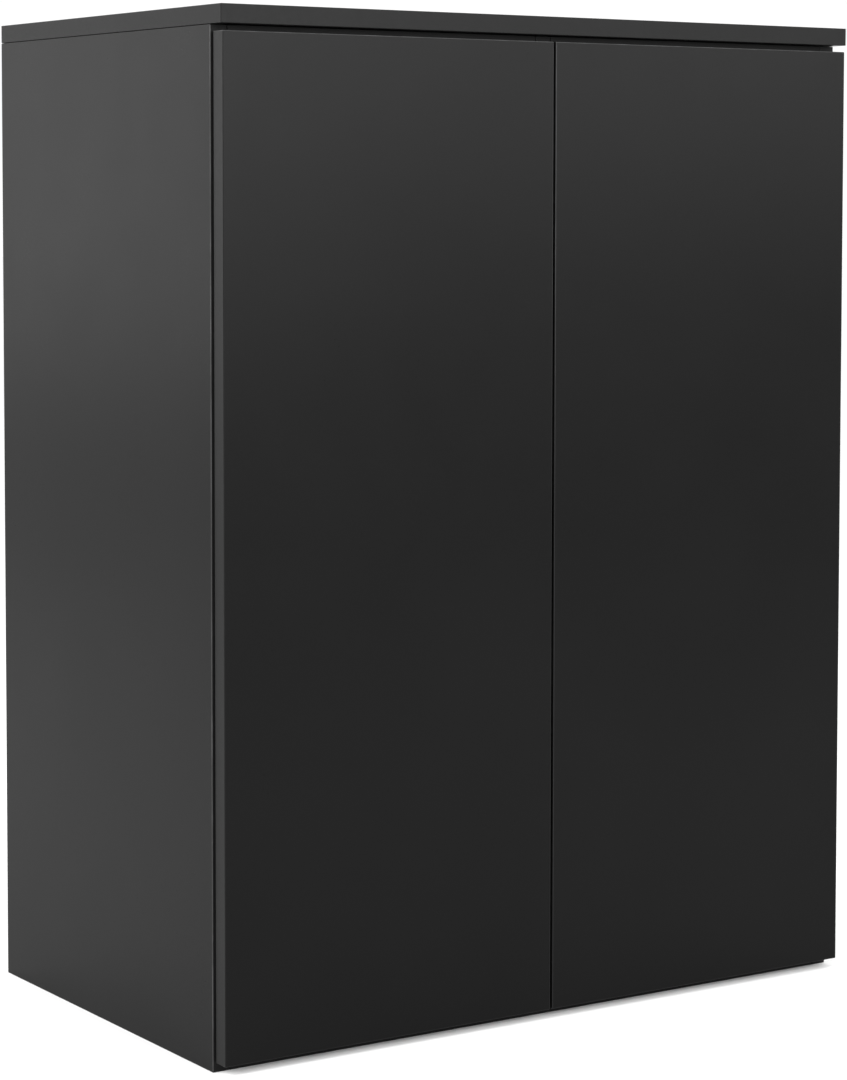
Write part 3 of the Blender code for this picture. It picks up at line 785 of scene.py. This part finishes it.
def build_screws():
    """The screws of the hinge cups, mounting plates, hinge arms and latches."""
    plate_seats = []
    arm_seats = []
    latch_seats = []
    for side, inward in (("left", 1), ("right", -1)):
        cup_seats = []
        for level in ("lower", "upper"):
            low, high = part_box(f"{side}_{level}_hinge_cup")
            edge = low.x if inward > 0 else high.x
            ear_x = edge + inward * (CUP_EDGE_TO_MIDDLE + EAR_BEYOND_MIDDLE)
            middle_z = (low.z + high.z) / 2
            for way in (-1, 1):
                cup_seats.append(((ear_x, high.y, middle_z + way * EAR_SPACING / 2), (0, 1, 0)))

            low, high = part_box(f"{side}_{level}_hinge_mounting_plate")
            wall = low.x if inward > 0 else high.x
            middle_y = (low.y + high.y) / 2
            for way in (-1, 1):
                seat = (wall + inward * WING_HEIGHT, middle_y, middle_z + way * WING_SPACING / 2)
                plate_seats.append((seat, (inward, 0, 0)))

            low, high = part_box(f"{side}_{level}_hinge_arm")
            web = high.x if inward > 0 else low.x
            for along in ARM_SCREWS_FROM_MIDDLE:
                arm_seats.append(((web, middle_y + along, middle_z), (inward, 0, 0)))

        low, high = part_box(f"{side}_latch_housing")
        inner_wall = high.x if inward > 0 else low.x
        plate_x = inner_wall - inward * LATCH_PLATE
        for spot_y in (low.y + LATCH_SCREW_FROM_END, high.y - LATCH_SCREW_FROM_END):
            for way in (-1, 1):
                seat = (plate_x, spot_y, (low.z + high.z) / 2 + way * LATCH_SCREW_SPACING / 2)
                latch_seats.append((seat, (-inward, 0, 0)))

        screws(f"{side}_hinge_cup_screws", f"{side}_door_leaf", "nickel_steel", cup_seats, CUP_SCREW)
    screws("mounting_plate_screws", "carcass", "nickel_steel", plate_seats, PLATE_SCREW)
    screws("hinge_arm_screws", "carcass", "nickel_steel", arm_seats, ARM_SCREW)
    screws("latch_screws", "carcass", "dark_steel", latch_seats, LATCH_SCREW)


def build_cams():
    """Zinc cams in the rear rails, and cover caps over the cams that hold the bottom panel."""
    height = CAM_WELL_DEPTH - PLAY - CAM_BELOW_FACE
    outline = rounded([(0, 0), (CAM_RADIUS, 0), (CAM_RADIUS, height), (0, height)], 0.0006)
    backward = Vector((0, 1, 0))
    cams = bmesh.new()
    crosses = bmesh.new()
    for index, place in enumerate(place for places in cam_seats().values() for place in places):
        floor = place - backward * (CAM_WELL_DEPTH - PLAY)
        turned_into(cams, floor, backward, outline, 48)
        cross_into(crosses, floor + backward * height, backward, CAM_RADIUS * 0.5, 0.0030, 0.9 * index)
    piece = add_piece("cam_fittings", cams, [MATERIALS["zinc"]], "carcass")
    cut(piece, crosses)
    soften(piece)

    low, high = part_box("bottom_panel")
    covers = bmesh.new()
    dome = rounded([(0, 0), (COVER_RADIUS, 0), (COVER_RADIUS, COVER_HEIGHT * 0.5),
                    (COVER_RADIUS * 0.8, COVER_HEIGHT), (0, COVER_HEIGHT)], COVER_HEIGHT * 0.4)
    for x in (low.x + CAM_FROM_END, high.x - CAM_FROM_END):
        for y in COVER_ROWS:
            turned_into(covers, (x, y, high.z), (0, 0, 1), dome, 48)
    piece = add_piece("cam_covers", covers, [MATERIALS["black_plastic"]], "carcass")
    soften(piece)


# ---------------------------------------------------------------- stage

def build_stage():
    """A plain pale floor."""
    bm = bmesh.new()
    bmesh.ops.create_circle(bm, cap_ends=True, segments=64, radius=40.0)
    mesh = bpy.data.meshes.new("floor")
    bm.to_mesh(mesh)
    bm.free()
    floor = bpy.data.objects.new("floor", mesh)
    bpy.context.scene.collection.objects.link(floor)
    finish = Finish("pale_floor", 0.75, specular=0.1)
    cloud = finish.noise(1.2, detail=3.0)
    finish.color(finish.ramp(cloud, [(0.3, 0.955), (0.7, 0.975)]))
    mesh.materials.append(finish.material)


def area_light(name, place, target, size, power):
    """A rectangular light that faces its target; size is its width and height."""
    data = bpy.data.lights.new(name, "AREA")
    data.shape = "RECTANGLE"
    data.size, data.size_y = size
    data.energy = power
    light = bpy.data.objects.new(name, data)
    light.location = place
    light.rotation_euler = (Vector(target) - Vector(place)).to_track_quat("-Z", "Y").to_euler()
    bpy.context.scene.collection.objects.link(light)


def build_lights():
    """A white room, two softboxes in front, one behind the left side and a fill by the left side."""
    world = bpy.data.worlds.new("studio")
    bpy.context.scene.world = world
    world.use_nodes = True
    background = world.node_tree.nodes["Background"]
    background.inputs["Color"].default_value = (1, 1, 1, 1)
    background.inputs["Strength"].default_value = 1.06
    area_light("front_softbox", (1.35, -2.95, 1.56), (0.20, -0.245, 1.56), (3.0, 1.26), 82)
    area_light("front_left_softbox", (0.60, -2.80, 1.42), (-0.55, -0.245, 1.42), (1.0, 1.60), 28)
    area_light("side_softbox", (-2.35, 2.70, 1.63), (-0.4, 0, 0.9), (1.9, 2.3), 31.5)
    area_light("left_fill", (-3.0, -0.4, 1.9), (-0.50, -0.25, 0.0), (1.8, 1.8), 80)


def build_camera():
    """Eye level just under the top, from the front left; focal length and shift give the framing."""
    data = bpy.data.cameras.new("camera")
    data.lens = 101.1
    data.sensor_width = 36
    data.shift_y = -0.146
    camera = bpy.data.objects.new("camera", data)
    camera.location = (-1.865, -2.823, 0.874)
    yaw, down, roll = -33.42, 3.53, 0.08
    turn = Matrix.Rotation(radians(yaw), 4, "Z") @ Matrix.Rotation(radians(90 - down), 4, "X")
    camera.rotation_euler = (turn @ Matrix.Rotation(radians(roll), 4, "Z")).to_euler()
    bpy.context.scene.collection.objects.link(camera)
    bpy.context.scene.camera = camera


build_boards()
build_shelf_pins()
build_clothes_rail()
build_stops()
build_screws()
build_cams()
build_pressed_fittings()
build_stage()
build_lights()
build_camera()
bpy.context.scene.view_settings.view_transform = "Standard"
